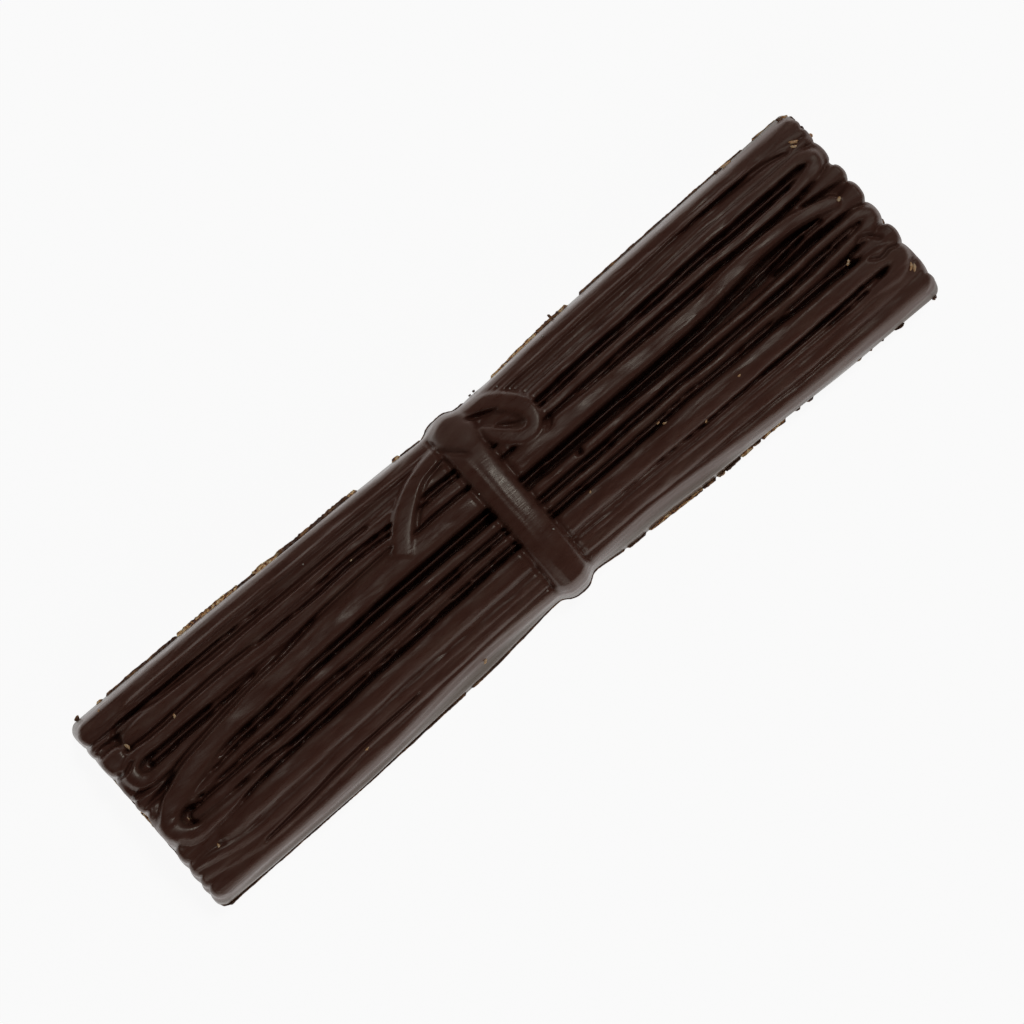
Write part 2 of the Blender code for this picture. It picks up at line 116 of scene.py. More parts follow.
RUN_OUT = 74.0  # x of a tip that lies in the end wall
PODS = (
    Pod("rim_left", (16.7, 16.8, 16.4, 15.6, 16.3, 16.9, 15.6), (2.8, 2.7, 2.6, 2.5, 2.6), 0.4,
        Tip(-RUN_OUT), Tip(RUN_OUT)),
    Pod("rim_thread", (14.9, 14.9, 14.6, 13.9, 14.7, 15.0, 14.9), (0.5, 0.6, 0.5, 0.55, 0.4), 0.55,
        Tip(-67.0), Tip(66.0)),
    Pod("first_thread", (14.1, 13.9, 13.35, 12.9, 13.4, 13.8, 13.6), (0.5, 0.8, 0.75, 0.6, 0.55),
        0.0, Tip(-RUN_OUT), Tip(71.0)),
    Pod("second_left", (13.0, 12.6, 12.0, 11.55, 12.3, 12.7, 12.5), (0.5, 0.6, 0.65, 0.68, 0.75),
        0.1, Tip(-RUN_OUT), Tip(72.0)),
    Pod("folded", (10.7, 10.6, 10.6, 10.1, 10.7, 11.0, 11.0), (2.0, 1.05, 0.9, 0.95, 1.02), 0.35,
        Tip(-67.6), Curl(69.0, -1, 1.6, 2.6, 1.9, 1.2, 2.0, 0.0, 0.9)),
    Pod("second_thread", (9.0, 9.0, 9.05, 8.45, 8.95, 9.1, 8.9), (0.5, 0.5, 0.4, 0.3, 0.3),
        (-0.1, -0.1, -0.2, -0.3, -0.3), Tip(-62.0), Tip(69.0)),
    Pod("hooked", (7.7, 7.6, 7.1, 6.8, 7.4, 7.35, 7.8), (1.25, 1.35, 1.1, 0.93, 0.95), 0.5,
        Curl(-68.6, -1, 2.2, 2.7, 2.0, 1.25, 28.0, 2.0, 0.2), Tip(70.0)),
    Pod("third_thread", (5.0, 5.1, 5.3, 5.3, 5.82, 5.35, 5.2), (0.3, 0.3, 0.3, 0.28, 0.3), -0.4,
        Tip(2.0), Tip(65.5)),
    Pod("crown", (-3.4, 0.2, 2.7, 3.35, 3.3, 3.65, 1.2), (2.12, 2.1, 2.1, 1.83, 1.25), 1.0,
        Curl(-68.4, -1, 3.15, 3.5, 2.3, 1.25, 18.0, 0.9, 0.35), Tip(68.4)),
    Pod("fourth_thread", (-3.0, -1.75, 0.05, 0.5, 0.42, 1.6, 1.0), (0.55, 0.36, 0.28, 0.24, 0.28),
        (-0.2, -0.4, -0.45, -0.45, -0.45), Tip(-67.0), Tip(67.5)),
    Pod("fifth", (-3.3, -2.9, -1.85, -1.8, -1.9, -1.65, -1.6), (0.7, 1.2, 1.0, 0.85, 0.85), 0.45,
        Tip(-67.4), Curl(69.4, -1, 1.4, 3.0, 1.7, 1.2, 2.0, 0.0, 0.9)),
    Pod("fifth_thread", (-4.1, -4.0, -3.7, -3.4, -3.35, -3.0, -2.6), (0.3, 0.5, 0.34, 0.25, 0.26),
        -0.4, Tip(-67.0), Tip(69.0)),
    Pod("sixth", (-5.6, -5.5, -5.3, -4.75, -4.8, -4.6, -3.9), (1.0, 0.9, 0.76, 0.8, 0.95), 0.5,
        Tip(-67.8), Tip(70.6)),
    Pod("sixth_thread", (-8.0, -7.9, -6.75, -5.95, -6.05, -6.3, -6.7), (0.3, 0.32, 0.27, 0.26, 0.28),
        -0.4, Tip(-57.0), Tip(66.0)),
    Pod("broad", (-11.0, -10.4, -9.5, -8.7, -8.8, -9.0, -9.2), (1.9, 2.0, 2.0, 2.15, 1.8), 0.8,
        Tip(-65.8), Curl(68.4, -1, 1.8, 3.2, 2.3, 1.1, 3.0, 0.0, 0.9)),
    Pod("seventh_thread", (-11.8, -12.1, -11.55, -11.05, -11.5, -11.5, -11.15),
        (0.4, 0.4, 0.42, 0.45, 0.42), 0.05, Tip(-62.0), Tip(66.0)),
    Pod("eighth", (-11.5, -13.1, -12.45, -12.05, -12.55, -12.75, -12.5), (1.15, 1.0, 0.75, 0.6, 0.7),
        0.3, Tip(-RUN_OUT), Tip(70.0)),
    Pod("ninth", (-13.4, -14.9, -14.2, -13.35, -14.0, -14.2, -13.8), (1.15, 1.05, 0.9, 1.1, 1.15),
        0.2, Tip(-RUN_OUT), Tip(RUN_OUT)),
    Pod("rim_right", (-16.0, -18.0, -17.6, -16.7, -17.6, -17.8, -16.5), (3.0, 2.9, 2.9, 2.6, 2.8),
        0.2, Tip(-RUN_OUT), Tip(RUN_OUT)),
)

# Short lengths of pod, most of them at the ends, with a half width and a rise at each end.
Stub = namedtuple("Stub", "start end half_widths rises")
STUBS = (
    Stub((-71.2, 9.4), (-73.0, 9.2), (2.0, 2.1), (0.2, 0.2)),
    Stub((-67.4, 5.45), (-41.0, 5.8), (0.5, 0.25), (-0.5, -0.9)),
    Stub((-46.0, 5.2), (-36.0, 5.8), (0.6, 0.25), (-0.4, -0.3)),
    Stub((-46.0, 3.2), (-33.0, 4.5), (1.2, 1.3), (0.2, 0.4)),
    Stub((-33.0, 4.5), (-16.0, 5.1), (1.3, 1.3), (0.4, 0.5)),
    Stub((-63.0, 2.6), (-73.4, 1.7), (0.3, 1.1), (-0.5, -0.1)),
    Stub((-69.6, -0.2), (-73.6, -0.4), (0.5, 1.1), (-0.7, -0.2)),
    Stub((-66.5, -9.8), (-73.4, -9.3), (1.6, 2.4), (-0.1, 0.2)),
    Stub((-68.5, -17.8), (-73.0, -17.6), (1.2, 2.0), (-0.2, 0.1)),
    Stub((69.0, 17.8), (73.6, 17.6), (1.5, 2.2), (-0.3, 0.0)),
    Stub((60.0, 5.35), (67.0, 5.4), (0.25, 0.7), (-0.8, -0.2)),
    Stub((67.0, 5.4), (73.4, 5.5), (0.7, 1.6), (-0.2, 0.2)),
    Stub((56.0, 0.2), (63.0, 0.6), (0.25, 0.5), (-1.2, -0.4)),
    Stub((63.0, 0.6), (70.0, 0.5), (0.5, 0.8), (-0.4, -0.2)),
    Stub((69.0, 0.9), (73.4, 1.0), (1.2, 2.2), (-0.3, 0.2)),
    Stub((66.4, -6.4), (73.2, -7.3), (0.6, 2.1), (-0.4, 0.4)),
)
# y and half width of the pods' ends in the end walls, at -X and at +X
LOBES = {
    -1: ((15.7, 2.1), (12.4, 1.0), (9.5, 2.2), (4.7, 2.4), (1.3, 1.2), (-3.7, 3.3),
         (-8.7, 1.6), (-11.6, 1.4), (-14.0, 1.0), (-16.9, 2.0)),
    1: ((16.0, 1.6), (13.0, 1.7), (9.7, 2.1), (5.0, 1.7), (1.4, 2.1), (-2.9, 1.9),
        (-7.4, 1.8), (-12.3, 3.1), (-17.0, 1.7)),
}

# ---------------------------------------------------------------- the tie

# The ribbon's height above the dome, the depth of its sides and the squareness of its section
RIBBON_RISE, RIBBON_DEPTH, RIBBON_SQUARENESS = 1.15, 1.6, 4.0
RIBBON_STEP = 0.5  # spacing of the points along a ribbon or a gap
# x, y and half width along the tail and round the loop
TAIL = ((-2.2, 13.0, 1.1), (-5.8, 12.2, 1.5), (-9.0, 11.1, 1.8), (-11.7, 9.7, 1.9),
        (-14.1, 8.0, 1.95), (-16.1, 5.9, 2.0), (-17.6, 3.9, 2.05))
LOOP = ((2.6, 14.3, 1.2), (5.8, 14.8, 1.4), (7.9, 14.0, 1.65), (9.9, 12.5, 1.75),
        (11.4, 10.8, 1.75), (12.2, 8.7, 1.65), (11.7, 6.8, 1.5), (10.3, 5.9, 1.4),
        (8.7, 6.1, 1.5), (7.1, 7.4, 1.6), (5.5, 9.3, 1.4), (4.0, 11.0, 1.2))
# What fills the inside of the loop
LOOP_FILL = Stub((6.4, 11.0), (10.5, 8.7), (2.0, 1.8), (0.2, 0.2))
# x, y, half width and height along the knot, from the shoulder to the band
KNOT = ((0.9, 16.4, 3.6, 1.1), (1.1, 14.3, 3.6, 2.1), (1.7, 12.8, 2.9, 2.2), (2.0, 11.6, 2.3, 1.8))
KNOT_DEPTH, KNOT_SQUARENESS = 2.4, 3.0
CREASE = ((-2.8, 13.2), (0.9, 9.1))  # the ends of the crease in the knot
CREASE_DEPTH, CREASE_HALF, CREASE_STEEPNESS = 1.0, 0.32, 0.8  # the last is of its two ends
CREASE_RIDGE, CREASE_RIDGE_OFF = 0.25, 0.768  # share of its depth, and how far beside it
BAND_RISE, BAND_SQUARENESS = 1.25, 3.5
BAND_CROWN, CROWN_HALF = 0.24, 1.5  # how much higher the band's middle is, and half its width
CROWN_END, CROWN_FADE = 8.0, 3.0  # y where the crown ends, and the length that it dies out in
# How far off the band's middle each of its folds lies, and the fold's height and half width
BAND_FOLDS = ((-2.1, 0.12, 0.3), (-1.0, 0.2, 0.4), (0.35, 0.05, 0.35), (2.8, 0.06, 0.35))
BAND_GAP, BAND_GAP_REACH = 1.4, 0.5  # how far the pods dip beside the band, and over what width
GAP_FLOOR, GAP_FADE = -3.0, 2.0  # relief this low doesn't dip; this much higher, it dips fully
GAP_DEPTH = 1.15  # of the narrow gaps, which have these x, y and half widths
GAPS = (
    ((-70.4, 11.4, 0.2), (-69.2, 12.9, 0.4), (-66.4, 13.2, 0.42), (-60.3, 12.4, 0.4),
     (-52.3, 11.85, 0.48), (-44.4, 11.7, 0.5), (-30.0, 11.6, 0.48), (-19.0, 11.4, 0.3)),
    ((-69.6, 9.2, 0.25), (-65.6, 8.75, 0.38), (-58.4, 8.95, 0.38), (-51.0, 9.1, 0.38),
     (-44.4, 8.9, 0.2)),
    ((-73.2, -2.6, 0.2), (-71.5, -0.8, 0.35), (-69.3, 0.7, 0.4), (-65.6, 2.1, 0.42),
     (-62.0, 2.7, 0.42), (-56.7, 3.4, 0.42), (-51.2, 4.1, 0.42), (-44.3, 4.7, 0.42),
     (-39.7, 5.1, 0.4), (-33.5, 5.8, 0.35), (-26.0, 6.1, 0.3), (-18.0, 6.3, 0.15)),
    ((-74.0, 3.0, 0.3), (-71.8, 2.6, 0.35), (-69.3, 2.1, 0.35), (-66.5, 2.3, 0.2)),
    ((-73.6, 6.8, 0.4), (-71.3, 6.8, 0.4), (-70.0, 7.4, 0.25)),
    ((-62.0, -15.3, 0.2), (-53.0, -14.8, 0.35), (-44.4, -14.1, 0.35), (-30.0, -13.7, 0.2)),
    ((-3.6, 11.4, 0.25), (-7.6, 10.4, 0.4), (-9.6, 9.1, 0.4), (-11.5, 7.5, 0.4),
     (-13.0, 6.0, 0.2)),
    ((4.2, 13.8, 0.35), (6.3, 13.0, 0.4), (8.4, 12.1, 0.2)),
    ((6.9, 10.0, 0.2), (8.3, 8.9, 0.35), (9.8, 8.1, 0.2)),
    ((14.0, 6.2, 0.2), (13.5, 5.0, 0.4), (12.5, 4.4, 0.2)),
    ((56.0, 14.0, 0.2), (62.0, 13.9, 0.38), (66.5, 13.6, 0.38), (69.3, 12.8, 0.2)),
    ((67.2, -5.6, 0.15), (68.5, -4.9, 0.3), (70.2, -5.4, 0.3), (71.3, -6.9, 0.15)),
    ((67.8, -8.3, 0.15), (69.2, -9.2, 0.3), (71.3, -9.0, 0.3), (73.0, -9.7, 0.15)),
)
HOLE_X, HOLE_Y, HOLE_DEPTH = 13.9, -1.4, 4.6  # the one small air hole
HOLE_HALF_X, HOLE_HALF_Y = 0.37, 0.58

# ---------------------------------------------------------------- the foot and the loose bits

# How far inside the solid's back the feet of the long walls lie, at these places along them.
FOOT_STATIONS = (-73, -61, -43, -29, -15, -9, -3.5, 0.6, 4.5, 7.5, 11, 17, 28, 39, 54, 73)
FOOT_INSETS = {
    1: (0.4, 0.5, 0.72, 1.0, 0.5, 0.12, 0.2, 0.25, 0.15, 0.1, 0.4, 0.6, 0.6, 0.55, 0.45, 0.4),
    -1: (0.25, 0.33, 0.35, 0.5, 0.35, 0.35, 0.5, 0.2, 0.5, 0.3, 0.2, 0.65, 0.6, 0.85, 0.4, 0.3),
}
END_INSETS = {1: 0.3, -1: 0.8}  # the same, of the end walls at +X and at -X
# Runs of thin flash that stand out of the walls' feet: the wall, start and end along it, reach.
# The dark runs are partly real flash and partly painted shade: the dark line where the walls meet
# the floor.
DARK_FLASH_AND_FOOT_SHADE = (
    ("+y", -66.6, -52.0, 0.42), ("+y", -40.0, -36.5, 0.5), ("+y", -32.2, -17.4, 0.66),
    ("+y", -7.3, -3.0, 0.3), ("+y", -3.2, 5.8, 0.25), ("+y", 21.6, 26.8, 0.55),
    ("+y", 30.8, 43.0, 0.38), ("+y", 42.0, 65.4, 0.28), ("-y", -73.2, -23.6, 0.24),
    ("-y", -22.4, 10.0, 0.22), ("-y", 10.4, 14.2, 0.35), ("-y", 25.4, 28.2, 0.4),
    ("-y", 29.9, 33.4, 0.45), ("-y", 35.7, 37.6, 0.42), ("-y", 44.4, 45.6, 0.3),
    ("-y", 46.8, 48.2, 0.3), ("-y", 59.6, 60.2, 0.25), ("-y", 62.0, 62.6, 0.25),
    ("-x", -18.8, -14.4, 0.35), ("-x", -9.6, -4.2, 0.34), ("-x", 1.2, 12.9, 0.26),
)
GOLDEN_FLASH = (
    ("+y", -68.6, -67.3, 0.3), ("+y", -52.2, -39.5, 0.65), ("+y", -37.0, -31.2, 0.7),
    ("+y", -18.4, -15.8, 0.5), ("+y", -8.8, -7.1, 0.5), ("+y", 11.6, 22.5, 0.45),
    ("+y", 25.9, 28.4, 0.5), ("+y", 67.4, 72.6, 0.3), ("-y", 14.8, 25.6, 0.4),
    ("-y", 28.4, 30.0, 0.45), ("-y", 33.2, 36.0, 0.5), ("-y", 37.5, 42.6, 0.5),
    ("-y", 57.0, 58.0, 0.25), ("-x", -3.2, 1.5, 0.42), ("-x", 4.6, 8.6, 0.34),
    ("-x", 11.0, 12.7, 0.42),
)
FLASH_HEIGHT, FLASH_STEP = 0.45, 0.12  # and the spacing of the sections along a strip
# Points round a strip's section: shares of its reach and of its height
FLASH_SECTION = ((-0.35, 0.0), (1.0, 0.0), (0.95, 0.5), (0.4, 0.9), (-0.35, 1.0))
FLASH_REACH, FLASH_LIMITS = 0.92, (0.5, 1.2)  # a strip's mean share of its reach, and limits
FLASH_TAPER = 3  # how quickly a strip widens from its ends

# x, y, length and width of each golden fleck, and its turn in degrees
FLECKS = (
    (-69.0, 9.7, 1.2, 0.55, 100), (-60.4, 8.4, 0.8, 0.4, 60), (-68.9, -5.4, 1.7, 0.3, -60),
    (-68.3, -11.2, 0.8, 0.4, 70), (-68.8, 17.0, 0.5, 0.3, 20), (71.2, 13.5, 1.6, 0.5, -30),
    (70.7, 12.9, 1.1, 0.42, -35), (72.2, -13.3, 1.4, 0.42, 45), (72.5, -13.8, 1.4, 0.45, 50),
    (70.3, 1.9, 0.9, 0.55, 20), (65.0, -6.5, 1.1, 0.45, 35), (26.1, -6.1, 0.7, 0.3, 10),
    (26.8, -6.8, 0.7, 0.3, -20), (32.0, -10.7, 0.7, 0.3, 40), (40.4, -8.8, 0.6, 0.3, 0),
    (-41.1, -14.8, 0.8, 0.3, 15), (11.0, -7.4, 0.5, 0.25, 30), (-24.0, 8.9, 0.5, 0.25, 0),
    (61.6, 18.2, 2.0, 0.7, -8), (73.2, 17.7, 1.0, 0.45, -25), (75.1, 13.2, 0.8, 0.55, 60),
    (74.7, -5.4, 0.5, 0.4, 80), (29.2, -18.1, 1.7, 0.5, -5), (-18.2, -16.3, 1.1, 0.4, 40),
)
# The same, of the dark crumbs at the foot of the walls
DARK_CRUMBS = (
    (60.1, 18.35, 1.5, 0.7, -10), (72.6, 18.1, 1.3, 0.5, -20), (74.7, 17.0, 1.5, 0.35, 90),
    (74.9, 15.0, 0.9, 0.35, 80), (74.7, -4.3, 1.8, 0.45, 88), (25.1, 18.4, 1.0, 0.45, 95),
    (-72.3, 18.9, 1.1, 0.6, 20), (31.6, -18.2, 1.3, 0.35, -5), (65.6, -18.9, 2.2, 0.5, -8),
    (72.9, -19.0, 1.0, 0.5, 10), (7.4, 17.2, 0.5, 0.3, 0), (8.3, 17.3, 0.5, 0.35, 0),
)
# x and y of the pale specks; the five on the band are painted highlights, set at the bright dots of
# its sheen
SPECKS_AND_GLINTS = ((1.5, 4.0), (1.6, 2.7), (2.0, 1.7), (-2.3, 3.6), (2.9, -8.0), (11.0, 14.8),
          (12.3, 13.2), (21.6, 16.2), (-30.0, 13.4))
SPECK_SIZE, SPECK_TURN = (0.3, 0.24), 40  # and how much further each is turned than the last
FLAKE_LUMPS, FLAKE_TAPER, FLAKE_BEND = 0.35, 0.9, 0.1  # how uneven, pointed and bent a bit is
FLAKE_THICKNESS, FLAKE_LIFT = 0.45, 0.22  # shares of its width

# ---------------------------------------------------------------- the fine mesh

FINE_STEP, PLAIN_STEP = 0.33, 0.58  # of the rows, at the ends and the tie, and between
PLAIN_STRETCH = (20, 62)  # where the plain rows are, from the middle
COLUMNS, CROWDING = 240, 0.3  # and how much closer together they are along the sides
STRETCH_FROM = 0.42 * LENGTH  # past this, the grid stretches to the ends' outlines
WALL_RINGS = 10
SOFTENING = (1, 2)  # passes along the bar and across it
PROBE = 0.3  # spacing of the nine places whose middle height a loose bit lies on
FLAKE_RINGS, FLAKE_SIDES = 7, 10

SKIN_FLOOR, SKIN_FADE = -1.6, 1.8  # relief this low has no wrinkles; this much higher, all
SIDE_RELIEF, SIDE_REACH = 0.3, 1.5  # share of the relief at the shoulder; it grows by 1 in this

# Each noise has a height, a length along the bar, a width across it and a seed.
WANDER = ((0.16, 8.0, 4.0, 1), (0.04, 3.2, 1.6, 2))  # of the pods' edges
LUMPS = ((0.13, 4.6, 2.2, 3), (0.08, 7.0, 0.9, 4), (0.05, 2.0, 1.0, 9), (0.03, 3.0, 0.45, 6))
FURROWS, FURROW_DEPTH, FURROW_HALF = (1.0, 16.0, 1.3, 5), 0.09, 0.16
BAND_NOISE = (0.06, 5.0, 0.8, 10)  # its length is along the band
WALL_BELLY = 0.28  # how far the walls swell out between the shoulder and the back
BELLY_SHARES = {1: 0.15, -1: 1.0}  # share of the swell and ripples at +Y and at -Y
LONG_RIPPLES, SHORT_RIPPLES = (0.24, 22.0, 1.8, 7), (0.1, 9.0, 0.9, 8)
RIPPLE_SPAN, RIPPLE_SHIFT = 8.0, 20.0  # noise down a wall, and between the two long walls
FLASH_WAVES = ((0.16, 2.2, 1.0, 21), (0.12, 0.4, 1.0, 22))  # of a strip's share of its reach
FLASH_HEIGHTS = (0.3, 0.5, 1.0, 23)  # of a strip's share of its height

# ---------------------------------------------------------------- colour and gloss

# Each ramp has positions in the noise, and the colour at each.
TOP_BROWNS = ((0.30, (0.106, 0.0395, 0.027)), (0.52, (0.120, 0.0475, 0.033)),
              (0.72, (0.136, 0.064, 0.045)))
# The walls' brown is greener and less red than the top's: a painted tint of the pale card's
# reflection in them.
WALL_BROWNS_PAINTED_GLEAM = ((0.3, (0.088, 0.044, 0.024)), (0.7, (0.106, 0.058, 0.034)))
FLECK_GOLDS = ((0.3, (0.60, 0.24, 0.08)), (0.5, (0.90, 0.54, 0.26)), (0.7, (0.95, 0.80, 0.56)))
FLASH_GOLDS = ((0.40, (0.07, 0.02, 0.01)), (0.47, (0.40, 0.15, 0.05)),
               (0.54, (0.90, 0.58, 0.24)), (0.64, (0.98, 0.88, 0.62)))
# Colours of the dark crumbs and of the dark runs; the dark runs are partly painted shade at the
# walls' feet.
DARK_BROWNS_AND_FOOT_SHADE = ((0.3, (0.06, 0.020, 0.008)), (0.55, (0.16, 0.06, 0.025)),
                (0.72, (0.50, 0.24, 0.09)))
# Greys of the pale specks, which on the band are painted highlights.
SPECK_AND_GLINT_GREYS = ((0.3, (0.40, 0.34, 0.28)), (0.7, (0.75, 0.70, 0.62)))
GLEAM_TINT = (1.0, 0.96, 0.84, 1)  # of the chocolate's reflections
BROWN_CHANGE = (2.8, 4.6)  # heights between which the walls' brown becomes the top's
# Sizes along x, y and z of the patches of brown and of gloss, and of the fine marks
BROWN_PATCH, GLOSS_PATCH, MARK_SIZE = (7.0, 1.8, 4.0), (3.5, 0.9, 2.0), (1.6, 0.28, 0.6)
MARK_STRENGTH, MARK_DEPTH = 0.5, 0.08
PIT_SIZE, PIT_STRENGTH, PIT_DEPTH = (0.3, 0.3, 0.3), 0.6, 0.1  # of the pits in the loose bits
MOTTLE = (0.3, 0.7)  # what most of a noise's values lie between
TOP_ROUGHNESS, WALL_ROUGHNESS, DULL_ROUGHNESS = (0.25, 0.42), 0.30, 0.6
DULL_END, DULL_END_SHARE = (54, 66), 0.6  # x from where to where the right end dulls, and how much
DULL_KNOT, DULL_KNOT_REACH = (1.6, 12.4, 12), (5.6, 3.4)  # its middle, and outer and inner radius

# ---------------------------------------------------------------- camera and light, in metres

ROLL = math.radians(40.84)  # of the bar's length in the view, anticlockwise from level
TILT = math.radians(5.0)
DISTANCE = 0.9
VIEW_WIDTH = 0.16075  # of what the camera sees at the bar's back
AIM = (0.40, -1.07)  # where on the back the camera looks, in the casting's millimetres
SENSOR = 36  # width of the camera's sensor, in millimetres
FLOOR_SIZE, FLOOR_DROP = 6, 0.0002
FLOOR_GREY, FLOOR_GLOW = 0.12, 0.925  # pale card, which glows so that it shows no hard shadow
SKY = ((0.1, (0.06, 0.057, 0.048)), (0.75, (0.01, 0.01, 0.01)))  # from low down to overhead
# The name, place, size and watts of each light
LIGHTS = (
    ("key", (0.54, 0.33, 1.4), (0.42, 0.42), 4.4),
    ("fill", (-0.45, -0.85, 0.42), (0.6, 0.3), 0.9),
)


# ---------------------------------------------------------------- curves and noise


def smooth(x, stations, values):
    """A smooth curve through the values at the stations, read at x."""
    stations = np.asarray(stations, float)
    values = np.asarray(values, float)
    slopes = np.gradient(values, stations)
    x = np.clip(x, stations[0], stations[-1])
    k = np.clip(np.searchsorted(stations, x) - 1, 0, len(stations) - 2)
    span = stations[k + 1] - stations[k]
    t = (x - stations[k]) / span
    rise = values[k + 1] - values[k]
    start = slopes[k] * span - rise
    end = rise - slopes[k + 1] * span
    return values[k] + rise * t + t * (1 - t) * (start * (1 - t) + end * t)


def fall(share, power=2.0):
    """0 at the middle of a rounded section and 1 at its edge."""
    return 1 - (1 - np.clip(np.abs(share), 0, 1) ** power) ** (1 / power)


def bell(distance, half):
    """1 at no distance, falling smoothly to almost 0 at twice the half width."""
    return np.exp(-((distance / half) ** 2))


def above(heights, floor, fade):
    """0 where a height is below the floor, and 1 where it is above it by the fade or more."""
    return np.clip((heights - floor) / fade, 0, 1)


def noise(x, y, sizes):
    """Smooth noise across a surface. Its sizes are height, length along x, width along y, seed."""
    height, length, width, seed = sizes
    u, v = x / length + 1000, y / width + 1000
    values = np.random.default_rng(seed).uniform(-1, 1, (64, 64))
    iu, iv = np.floor(u).astype(int), np.floor(v).astype(int)
    fu, fv = u - iu, v - iv
    fu, fv = fu * fu * (3 - 2 * fu), fv * fv * (3 - 2 * fv)
    corners = [values[(iu + a) % 64, (iv + b) % 64] for a in (0, 1) for b in (0, 1)]
    near = corners[0] * (1 - fv) + corners[1] * fv
    far = corners[2] * (1 - fv) + corners[3] * fv
    return height * (near * (1 - fu) + far * fu)


# ---------------------------------------------------------------- the bar's outline


def pinch(x, sizes):
    """How far the bar is drawn in at x. The sizes are middle, depth, half length, steepness."""
    middle, depth, reach, steepness = sizes
    return depth * np.exp(-((np.abs(x - middle) / reach) ** steepness))


def side_run(x, side):
    """How far a long wall leans in at x. The side is 1 at +Y and -1 at -Y."""
    left = LEFT_RUN + pinch(x, BAND_PINCH) - pinch(x, KNOT_BULGE)
    return np.where(side > 0, left, RIGHT_RUN + pinch(np.abs(x), RIGHT_GAIN))


def half_width(x, side, level):
    """Half the bar's width at x. The level runs from 0 at the back to 1 at the shoulder."""
    bulge = pinch(x, BAND_PINCH)
    neck = pinch(x, NECK) * (1 - level * (1 - NECK_KEPT))
    return WIDTH / 2 - pinch(x, WAIST) - neck + bulge - level * side_run(x, side)


def half_length(y, side, level):
    """Half the bar's length at y, towards one end. The notches fade down to the back."""
    lobe = np.zeros_like(y)
    for middle, half in LOBES[side]:
        lobe = np.maximum(lobe, 1 - fall((y - middle) / half))
    radius = CORNER + level * CORNER_GAIN
    run = np.where(y > 0, LEFT_RUN, RIGHT_RUN)
    past = np.abs(y) - (WIDTH / 2 - level * run - radius)
    corner = radius * fall(np.clip(past, 0, radius) / radius)
    return LENGTH / 2 - corner - level * (END_RUN + SCALLOP * (1 - lobe))


def end_limit(x, y, level):
    """Half the bar's length at y, towards the end that x lies nearer."""
    return np.where(x < 0, half_length(y, -1, level), half_length(y, 1, level))


def footprint(rows, columns, level):
    """Points across the bar at one level. Rows run from -1 to 1 along it, columns across."""
    x = rows * LENGTH / 2
    y = columns * half_width(x, columns, level)
    beyond = np.clip((np.abs(x) - STRETCH_FROM) / (LENGTH / 2 - STRETCH_FROM), 0, 1)
    stretched = STRETCH_FROM + beyond * (end_limit(x, y, level) - STRETCH_FROM)
    return np.where(beyond > 0, np.sign(x) * stretched, x), y


def foot_inset(x, side):
    """How far inside the solid's back a long wall's foot lies at x."""
    left, right = (smooth(x, FOOT_STATIONS, FOOT_INSETS[key]) for key in (1, -1))
    return np.where(side > 0, left, right)


# ---------------------------------------------------------------- the routes of the strands


def curl_route(pod, curl, side):
    """x, y and half width from a curl's start round to the end of its returning limb."""
    lane = smooth(curl.x, STATIONS, pod.lanes)
    start = smooth(curl.x, WIDTH_STATIONS, pod.half_widths)
    t = np.linspace(0, 1, TURN_POINTS + 1)[1:]
    back = np.arange(STEP, curl.back + STEP, STEP) / curl.back
    x_turn = curl.x + side * curl.reach * np.sin(math.pi * t)
    y_turn = lane + curl.turn * curl.radius * (1 - np.cos(math.pi * t))
    turn_width = (1 - t) ** 2 * start + 2 * t * (1 - t) * curl.swell + t**2 * curl.limb
    x_back = curl.x - side * curl.back * back
    y_back = y_turn[-1] + curl.drift * back
    back_width = curl.limb + (curl.taper - curl.limb) * back
    return np.array([
        np.append(x_turn, x_back),
        np.append(y_turn, y_back),
        np.append(turn_width, back_width),
    ])


def pod_route(pod):
    """x, y, half width and height along a pod, from its left end to its right one."""
    x = np.arange(pod.left.x, pod.right.x + STEP, STEP)
    route = np.array([x, smooth(x, STATIONS, pod.lanes), smooth(x, WIDTH_STATIONS, pod.half_widths)])
    if isinstance(pod.left, Curl):
        route = np.hstack([curl_route(pod, pod.left, -1)[:, ::-1], route])
    if isinstance(pod.right, Curl):
        route = np.hstack([route, curl_route(pod, pod.right, 1)])
    count = route.shape[1]
    from_end = np.minimum(np.arange(count), np.arange(count)[::-1]) * STEP
    drop = TIP_DROP * np.clip(1 - from_end / TIP_LENGTH, 0, 1) ** 2
    rises = smooth(route[0], WIDTH_STATIONS, np.broadcast_to(pod.rise, len(WIDTH_STATIONS)))
    return np.vstack([route, rises - drop])


def point_route(points, rise):
    """A smooth route at one height through a few points that state x, y and half width."""
    points = np.array(points, float)
    along = np.append(0, np.cumsum(np.hypot(*np.diff(points[:, :2], axis=0).T)))
    fine = np.linspace(0, along[-1], int(along[-1] / RIBBON_STEP) + 2)
    return np.array([smooth(fine, along, points[:, k]) for k in range(3)] + [0 * fine + rise])


# ---------------------------------------------------------------- the relief of the top


